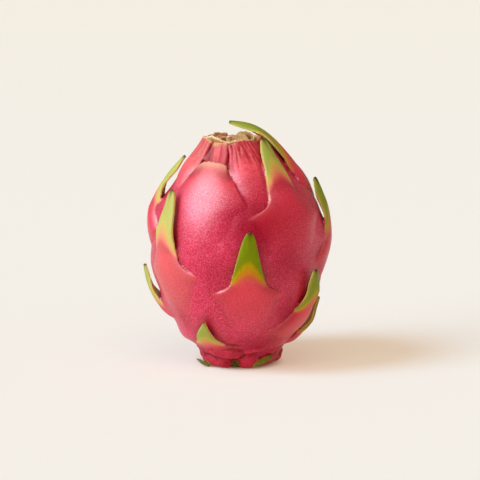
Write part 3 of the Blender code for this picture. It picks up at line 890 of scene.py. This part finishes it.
def add_style(patch):
    """The withered style in the middle of the open end."""
    t = np.linspace(0, 1, 40)[:, None]
    around = np.linspace(0, 2 * math.pi, 28, endpoint=False)[None, :]
    x, y, foot = STYLE_PLACE
    swell = np.interp(t, *STYLE_SWELL)
    points = stacked(x + swell * np.cos(around), y + swell * 0.8 * np.sin(around), foot + STYLE_TALL * t)
    points += 0.35 * np.stack([lumps(points, 1.3, 55.0 + k) for k in range(3)], axis=-1)
    patch.add_tube(points, {"brown": 0.5, "pale": 0.3 * eased((t - 0.8) / 0.2)})


def build_rim():
    patch = Patch(RIM_MASKS)
    add_torn_edge(patch)
    add_petal_bases(patch)
    add_style(patch)
    rim = fused("dried_flower_rim", patch, RIM_VOXEL, 2)
    keep_masks(rim.data, handed_over(rim.data, patch)[1])
    return rim


def build_stem_scar():
    patch = Patch(RIM_MASKS)
    around, radius, level = turned_rings(SCAR_LINE, np.arange(0, 360, 3.0)[None, :])
    points = round_axis(around, radius, level)
    points += unit(points - SCAR_MIDDLE) * relief(points, SCAR_LUMPS)[..., None]
    points[..., 2] = np.maximum(points[..., 2], SCAR_CLEAR)
    patch.add_tube(points, {"brown": eased((radius - 2.0) / 3.0) * 0.6, "pale": 0.0})
    scar = fused("stem_scar", patch, SCAR_VOXEL, 1)
    keep_masks(scar.data, handed_over(scar.data, patch)[1])
    return scar


# ---- Materials ------------------------------------------------------------------------------------------
# Colours, in the usual 0 to 255.
PEEL_COLOURS = {
    # The deep crimson is partly the peel's own deeper tone and partly painted shade.
    "rose": (190, 6, 50), "warm rose": (208, 12, 64), "crimson": (172, 0, 40), "deep crimson and shade": (136, 0, 28),
    # A paler pink for the painted highlight on ridges.
    "coral": (232, 60, 64), "speck": (248, 86, 128), "pale neck": (250, 112, 106), "ridge": (250, 120, 120),
    # Painted shade: dark crimson in the creases and in the axils under the flaps.
    "crease": (104, 0, 14), "axil": (140, 4, 20), "margin": (240, 170, 140),
    "blush": (206, 86, 54), "amber": (203, 126, 26), "olive": (178, 150, 4), "leaf green": (117, 134, 3),
    "peach": (240, 172, 124), "pale green": (206, 204, 112), "vein": (90, 104, 10),
    "inner yellow": (234, 222, 92), "withered": (62, 46, 20), "husk": (222, 168, 124),
    "dark husk": (178, 116, 82),
}
PETAL_COLOURS = {
    "tan": (218, 184, 116), "straw": (248, 228, 168), "blotch": (196, 152, 92), "brown": (168, 108, 52),
    "edge": (238, 220, 180), "speck": (110, 70, 40),
}
CORK_COLOURS = {
    "wood": (150, 122, 84), "pale wood": (186, 160, 116), "bark": (98, 70, 44), "speck": (70, 50, 32),
}


def shader_colours(table):
    """The colours of a table, as the shader's linear values."""
    def linear(c):
        return ((c / 255 + 0.055) / 1.055) ** 2.4 if c > 10 else c / 255 / 12.92

    return {name: (*map(linear, colour), 1.0) for name, colour in table.items()}


class Graph:
    """Short calls for making and joining nodes."""

    def __init__(self, tree):
        self.tree = tree

    def put(self, kind, values=(), **settings):
        node = self.tree.nodes.new(kind)
        for key, value in settings.items():
            setattr(node, key, value)
        for key, value in dict(values).items():
            self.feed(node.inputs[key], value)
        return node

    def feed(self, socket, value):
        if isinstance(value, bpy.types.NodeSocket):
            self.tree.links.new(value, socket)
        else:
            socket.default_value = value

    def attribute(self, name):
        return self.put("ShaderNodeAttribute", attribute_name=name).outputs["Fac"]

    def noise(self, size, detail=2.0, roughness=0.55, stretch=(1, 1, 1), seed=0.0, place=None):
        """Noise whose lumps are about that many mm."""
        place = place or self.put("ShaderNodeTexCoord").outputs["Object"]
        grow = [s / (size * UNIT) for s in stretch]
        placed = self.put("ShaderNodeMapping", {"Vector": place, "Scale": grow, "Location": (seed,) * 3})
        values = {"Vector": placed.outputs[0], "Scale": 1.0, "Detail": detail, "Roughness": roughness}
        return self.put("ShaderNodeTexNoise", values).outputs["Fac"]

    def span(self, value, low, high, to_low=0.0, to_high=1.0):
        """Smoothly maps a range onto another."""
        names = {"Value": value, "From Min": low, "From Max": high, "To Min": to_low, "To Max": to_high}
        return self.put("ShaderNodeMapRange", names, interpolation_type="SMOOTHSTEP").outputs["Result"]

    def math(self, operation, first, second=0.0):
        return self.put("ShaderNodeMath", {0: first, 1: second}, operation=operation).outputs[0]

    def rest(self, value):
        return self.math("SUBTRACT", 1.0, value)

    def times(self, *factors):
        result = factors[0]
        for factor in factors[1:]:
            result = self.math("MULTIPLY", result, factor)
        return result

    def mix(self, factor, first, second, blend="MIX"):
        node = self.put("ShaderNodeMix", data_type="RGBA", blend_type=blend)
        self.feed(node.inputs["Factor"], factor)
        colour_sockets = [s for s in node.inputs if s.type == "RGBA"]
        self.feed(colour_sockets[0], first)
        self.feed(colour_sockets[1], second)
        return next(s for s in node.outputs if s.type == "RGBA")

    def bump(self, height, strength, distance):
        """A normal that follows a height, whose full range stands for that many mm."""
        values = {"Height": height, "Strength": strength, "Distance": distance * UNIT}
        return self.put("ShaderNodeBump", values).outputs["Normal"]

    def group(self, tree, **values):
        node = self.put("ShaderNodeGroup", node_tree=tree)
        for name, value in values.items():
            self.feed(node.inputs[name.replace("_", " ")], value)
        return node.outputs


def new_group(name, inputs, outputs):
    """An empty node group with named float sockets, and the nodes that carry them."""
    tree = bpy.data.node_groups.new(name, "ShaderNodeTree")
    for label, value in inputs.items():
        tree.interface.new_socket(label, in_out="INPUT", socket_type="NodeSocketFloat").default_value = value
    for label in outputs:
        tree.interface.new_socket(label, in_out="OUTPUT", socket_type="NodeSocketFloat")
    graph = Graph(tree)
    return tree, graph, graph.put("NodeGroupInput").outputs, graph.put("NodeGroupOutput").inputs


def fine_grain_group():
    """Small close specks: a mask of the specks and a height for bump."""
    tree, g, given, result = new_group("fine grain", {"Size": 0.6, "Cover": 0.5}, ("Specks", "Height"))
    place = g.put("ShaderNodeTexCoord").outputs["Object"]
    finer = g.math("DIVIDE", 1.0 / UNIT, given["Size"])
    placed = g.put("ShaderNodeVectorMath", {0: place, "Scale": finer}, operation="SCALE").outputs[0]
    grain = g.put("ShaderNodeTexNoise", {"Vector": placed, "Scale": 1.0, "Detail": 2.0, "Roughness": 0.7})
    low = g.math("SUBTRACT", 0.72, g.times(given["Cover"], 0.3))
    specks = g.span(grain.outputs["Fac"], low, g.math("ADD", low, 0.16))
    g.feed(result["Specks"], specks)
    g.feed(result["Height"], grain.outputs["Fac"])
    return tree


def fibre_group():
    """Streaks that run up and down: a mask of dark streaks and a height for bump."""
    tree, g, given, result = new_group("upright fibres", {"Width": 0.8, "Run": 9.0}, ("Streaks", "Height"))
    place = g.put("ShaderNodeTexCoord").outputs["Object"]
    across = g.math("DIVIDE", 1.0 / UNIT, given["Width"])
    along = g.math("DIVIDE", 1.0 / UNIT, given["Run"])
    grow = g.put("ShaderNodeCombineXYZ", {0: across, 1: across, 2: along}).outputs[0]
    placed = g.put("ShaderNodeVectorMath", {0: place, 1: grow}, operation="MULTIPLY").outputs[0]
    streak = g.put("ShaderNodeTexNoise", {"Vector": placed, "Scale": 1.0, "Detail": 3.0, "Roughness": 0.6})
    g.feed(result["Streaks"], g.span(streak.outputs["Fac"], 0.38, 0.62))
    g.feed(result["Height"], streak.outputs["Fac"])
    return tree


def new_material(name):
    material = bpy.data.materials.new(name)
    material.use_nodes = True
    graph = Graph(material.node_tree)
    return material, graph, material.node_tree.nodes["Principled BSDF"]


def flesh_colour(g, tone, mask, grain, mottle):
    """The crimson skin, coral below the scales, with pale specks, painted shade in its creases and axils, and
    painted highlight on its ridges.
    """
    broad = g.noise(15.0, detail=1.0)
    clear = g.rest(g.times(mask["deep"], 0.85))
    flesh = g.mix(g.span(broad, 0.35, 0.65), tone["rose"], tone["warm rose"])
    # A deeper crimson, partly the peel's own tone and partly painted shade.
    flesh = g.mix(g.times(mask["deep"], 0.95), flesh, tone["deep crimson and shade"])
    flesh = g.mix(g.span(mottle, 0.3, 0.7, 0.5, 0.0), flesh, tone["crimson"])
    flesh = g.mix(g.times(mask["coral"], 0.62), flesh, tone["coral"])
    speck_cover = g.times(g.span(mask["coral"], 0.0, 1.0, 0.62, 0.2), clear)
    flesh = g.mix(g.times(grain["Specks"], speck_cover), flesh, tone["speck"])
    pale_neck = g.times(mask["matte"], g.span(mottle, 0.3, 0.7, 0.2, 0.5))
    flesh = g.mix(pale_neck, flesh, tone["pale neck"])
    # Painted highlight on the ridges, painted shade in the creases and in the axils under the flaps.
    flesh = g.mix(g.times(mask["ridge"], clear, 0.12), flesh, tone["ridge"])
    flesh = g.mix(g.times(mask["crease"], 0.92), flesh, tone["crease"])
    return g.mix(g.times(mask["axil"], 0.8), flesh, tone["axil"])


def leaf_colour(g, tone, mask, fibres):
    """A flap from its blushed root through amber and olive to green, with a pale bloom that is partly painted
    sheen, and yellow inside.
    """
    leaf = g.mix(g.span(mask["green"], 0.22, 0.52), tone["blush"], tone["amber"])
    leaf = g.mix(g.span(mask["green"], 0.48, 0.76), leaf, tone["olive"])
    leaf = g.mix(g.span(mask["green"], 0.72, 1.0), leaf, tone["leaf green"])
    pale = g.mix(g.span(mask["green"], 0.25, 0.75), tone["peach"], tone["pale green"])
    # A paler bloom, partly painted sheen where the scales face the light.
    leaf = g.mix(g.times(mask["bloom"], g.span(fibres["Height"], 0.3, 0.7, 0.55, 0.85)), leaf, pale)
    leaf = g.mix(g.times(fibres["Streaks"], 0.16), leaf, tone["vein"])
    return g.mix(g.span(mask["inner"], 0.5, 0.75, 0.0, 0.85), leaf, tone["inner yellow"])


def peel_material(grain_tree, fibre_tree):
    material, g, shader = new_material("waxy_peel")
    tone = shader_colours(PEEL_COLOURS)
    mask = {name: g.attribute(name) for name in (*MASKS, *SHAPE_MASKS)}
    grain = g.group(grain_tree, Size=0.5, Cover=0.8)
    fibres = g.group(fibre_tree, Width=0.9, Run=12.0)
    mottle = g.noise(2.6, detail=3.0, seed=4.0)

    flesh = flesh_colour(g, tone, mask, grain, mottle)
    colour = g.mix(g.span(mask["green"], 0.0, 0.4), flesh, leaf_colour(g, tone, mask, fibres))
    colour = g.mix(g.times(mask["margin"], 0.75), colour, tone["margin"])
    colour = g.mix(mask["dry"], colour, tone["withered"])
    frayed = g.math("ADD", mask["husk"], g.span(fibres["Height"], 0.3, 0.7, -0.25, 0.25))
    husk = g.span(frayed, 0.3, 0.8)
    colour = g.mix(husk, colour, g.mix(fibres["Streaks"], tone["husk"], tone["dark husk"]))
    g.feed(shader.inputs["Base Color"], colour)

    # Wax only on the skin, and less of it at the neck and in the deep tones, which are partly painted shade.
    shader.inputs["Specular IOR Level"].default_value = 0.05
    shader.inputs["Coat Roughness"].default_value = 0.43
    skin = g.rest(g.math("MAXIMUM", g.span(mask["green"], 0.1, 0.5), husk))
    dull = g.math("MAXIMUM", g.times(mask["matte"], 0.8), mask["deep"])
    waxed = g.span(grain["Height"], 0.3, 0.7, 0.55, 1.25)
    g.feed(shader.inputs["Coat Weight"], g.times(skin, g.rest(g.times(dull, 0.9)), waxed))
    rough = g.span(mottle, 0.3, 0.7, 0.4, 0.5)
    g.feed(shader.inputs["Roughness"], g.math("ADD", rough, g.times(husk, 0.35)))
    height = g.math("ADD", g.times(grain["Height"], 0.8), g.times(mottle, 0.6))
    height = g.math("ADD", height, g.times(fibres["Height"], g.math("MAXIMUM", mask["husk"], 0.1)))
    g.feed(shader.inputs["Normal"], g.bump(height, 0.6, 0.3))
    return material


def dry_petal_material(grain_tree, fibre_tree):
    material, g, shader = new_material("dry_papery_petal")
    tone = shader_colours(PETAL_COLOURS)
    grain = g.group(grain_tree, Size=0.7, Cover=0.3)
    fibres = g.group(fibre_tree, Width=0.55, Run=4.0)
    blotch = g.noise(2.4, detail=2.0, seed=9.0)
    colour = g.mix(fibres["Streaks"], tone["tan"], tone["straw"])
    colour = g.mix(g.span(blotch, 0.42, 0.66, 0.0, 0.4), colour, tone["blotch"])
    # Brown tissue, together with the painted shadow under the torn edge.
    colour = g.mix(g.attribute("brown"), colour, tone["brown"])
    colour = g.mix(g.times(g.attribute("pale"), 0.7), colour, tone["edge"])
    colour = g.mix(g.times(grain["Specks"], 0.18), colour, tone["speck"])
    g.feed(shader.inputs["Base Color"], colour)
    g.feed(shader.inputs["Roughness"], g.span(blotch, 0.3, 0.7, 0.7, 0.9))
    height = g.math("ADD", fibres["Height"], g.times(grain["Height"], 0.4))
    g.feed(shader.inputs["Normal"], g.bump(height, 0.7, 0.3))
    return material


def cork_material(grain_tree, fibre_tree):
    material, g, shader = new_material("corky_stem_end")
    tone = shader_colours(CORK_COLOURS)
    grain = g.group(grain_tree, Size=0.6, Cover=0.5)
    fibres = g.group(fibre_tree, Width=0.5, Run=3.0)
    colour = g.mix(fibres["Streaks"], tone["wood"], tone["pale wood"])
    # On the stem scar this mask is only the bark's own brown.
    colour = g.mix(g.attribute("brown"), colour, tone["bark"])
    colour = g.mix(g.times(grain["Specks"], 0.5), colour, tone["speck"])
    g.feed(shader.inputs["Base Color"], colour)
    g.feed(shader.inputs["Roughness"], g.span(grain["Height"], 0.3, 0.7, 0.75, 0.95))
    height = g.math("ADD", fibres["Height"], g.times(grain["Height"], 0.8))
    g.feed(shader.inputs["Normal"], g.bump(height, 0.8, 0.35))
    return material


# ---- Stage ----------------------------------------------------------------------------------------------
EYE_ANGLE = 9.0  # degrees that the camera looks down
EYE_DISTANCE = 1.0  # in metres
AIM_HEIGHT = 59.3
FIELD = 230.4  # width of the view at the fruit
SENSOR = 36.0
FLOOR_HALF = 12.0  # half the floor's side, in metres
FLOOR_COLOUR = (0.405, 0.488, 0.504, 1)
# A faint glow painted on the floor, which lights and warms its shadows: near, far away, and right under the
# fruit, where a dimmer glow paints its contact shadow.
NEAR_GLOW, FAR_GLOW, CONTACT_SHADOW_GLOW = (1.0, 0.72, 0.52, 1), (1.0, 0.71, 0.40, 1), (0.26, 0.10, 0.05, 1)
FOOT_SHADE = (14.0, 23.0)  # distances from the axis between which the painted contact shadow goes over into the near glow
SURROUNDINGS, BACKDROP = (0.28, 0.25, 0.22, 1), (0.90, 0.86, 0.79, 1)
# Name, azimuth, elevation, spread, strength, colour, and if it lights matt surfaces and shows in glossy ones.
# The glow stands in for the reflections of the key and the side light.
LIGHTS = (
    ("key", -69.0, 48.0, 23.0, 2.5, (0.55, 0.77, 1.0), True, False),
    ("side", -60.0, 17.0, 34.0, 1.5, (0.92, 0.95, 1.0), True, False),
    ("top", 8.0, 62.0, 50.0, 0.9, (1.0, 0.72, 0.44), True, True),
    ("fill", 34.0, 8.0, 60.0, 0.33, (1.0, 0.56, 0.56), True, True),
    ("glow", -63.0, 42.0, 60.0, 10.0, (0.8, 0.92, 1.0), False, True),
)


def aim(thing, place, target):
    thing.location = place
    thing.rotation_euler = (target - place).to_track_quat("-Z", "Y").to_euler()


def add_camera():
    data = bpy.data.cameras.new("camera")
    data.sensor_width = SENSOR
    data.lens = SENSOR * EYE_DISTANCE / (FIELD * UNIT)
    data.clip_start = 0.01
    camera = bpy.data.objects.new("camera", data)
    bpy.context.scene.collection.objects.link(camera)
    target = Vector((0, 0, low_corner[2] + AIM_HEIGHT * UNIT))
    tilt = math.radians(EYE_ANGLE)
    aim(camera, target + Vector((0, -math.cos(tilt), math.sin(tilt))) * EYE_DISTANCE, target)
    bpy.context.scene.camera = camera


def add_sky_light(name, azimuth, elevation, spread, strength, colour, matt, glossy):
    """A far soft light from that side; the spread is its apparent size in degrees."""
    data = bpy.data.lights.new(name, "SUN")
    data.angle = math.radians(spread)
    data.energy = strength
    data.color = colour
    light = bpy.data.objects.new(name, data)
    bpy.context.scene.collection.objects.link(light)
    turn, rise = math.radians(azimuth), math.radians(elevation)
    towards = Vector((math.sin(turn) * math.cos(rise), -math.cos(turn) * math.cos(rise), math.sin(rise)))
    aim(light, towards, Vector((0, 0, 0)))
    light.visible_diffuse = matt
    light.visible_glossy = glossy


def add_floor():
    mesh = bpy.data.meshes.new("floor")
    half, z = FLOOR_HALF, low_corner[2]
    corners = [(-half, -half, z), (half, -half, z), (half, half, z), (-half, half, z)]
    mesh.from_pydata(corners, [], [(0, 1, 2, 3)])
    floor = new_object("floor", mesh)
    material, g, shader = new_material("warm_paper")
    shader.inputs["Base Color"].default_value = FLOOR_COLOUR
    place = g.put("ShaderNodeSeparateXYZ", {0: g.put("ShaderNodeTexCoord").outputs["Object"]}).outputs
    x, y = place["X"], place["Y"]
    far = g.put("ShaderNodeMapRange", {"Value": y, "From Min": 0.2, "From Max": 5.0}).outputs["Result"]
    apart = g.math("POWER", g.math("ADD", g.times(x, x), g.times(y, y)), 0.5)
    # The glow is dimmer right under the fruit: a painted contact shadow.
    off_foot = g.span(apart, *(distance * UNIT for distance in FOOT_SHADE))
    g.feed(shader.inputs["Emission Color"], g.mix(off_foot, CONTACT_SHADOW_GLOW, g.mix(far, NEAR_GLOW, FAR_GLOW)))
    shader.inputs["Emission Strength"].default_value = 0.5
    shader.inputs["Roughness"].default_value = 0.95
    shader.inputs["Specular IOR Level"].default_value = 0.0
    mesh.materials.append(material)


def light_stage():
    """Even surroundings, a warm light from above the front, and cool light from the left, high and low."""
    world = bpy.data.worlds.new("studio")
    bpy.context.scene.world = world
    world.use_nodes = True
    g = Graph(world.node_tree)
    seen = g.put("ShaderNodeLightPath").outputs["Is Camera Ray"]
    g.feed(world.node_tree.nodes["Background"].inputs["Color"], g.mix(seen, SURROUNDINGS, BACKDROP))
    for light in LIGHTS:
        add_sky_light(*light)
    bpy.context.scene.view_settings.view_transform = "Standard"


# ---- Assembly -------------------------------------------------------------------------------------------
add_camera()
light_stage()
add_floor()
grain_tree, fibre_tree = fine_grain_group(), fibre_group()
peel = build_peel()
peel.data.materials.append(peel_material(grain_tree, fibre_tree))
rim = build_rim()
rim.data.materials.append(dry_petal_material(grain_tree, fibre_tree))
scar = build_stem_scar()
scar.data.materials.append(cork_material(grain_tree, fibre_tree))
for piece, place in ((peel, "peel"), (rim, "dry_flower_rim"), (scar, "stem_scar")):
    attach(piece, "root")
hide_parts("dragon_fruit")
